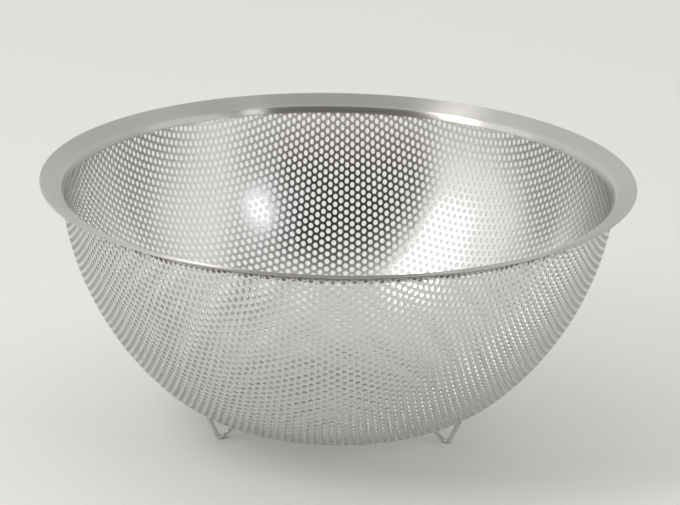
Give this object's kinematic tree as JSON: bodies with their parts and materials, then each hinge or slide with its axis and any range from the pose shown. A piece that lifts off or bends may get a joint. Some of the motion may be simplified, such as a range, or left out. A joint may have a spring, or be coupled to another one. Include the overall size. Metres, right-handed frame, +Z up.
{
  "type": "strainer bowl",
  "caption": "Footed stainless strainer bowl: deep punched-sheet bowl, plain sloping rim ring, short bent-wire feet. For draining and rinsing food.",
  "frame": {"origin": "on the surface the bowl stands on, at the centre of the bowl", "axes": "+Z up along the bowl's axis; one foot stands behind on +Y, the other two in front at -Y, left and right"},
  "size_m": [0.27, 0.27, 0.116],
  "materials": {
    "bowl_steel": "bright electropolished punched stainless sheet",
    "rim_steel": "satin stainless sheet, brushed round the ring",
    "wire_steel": "bright drawn stainless wire"
  },
  "bodies": {
    "root": {"punched_bowl": "bowl_steel", "rim_ring": "rim_steel", "foot_front_left": "wire_steel", "foot_front_right": "wire_steel", "foot_back": "wire_steel"}
  },
  "joints": []
}
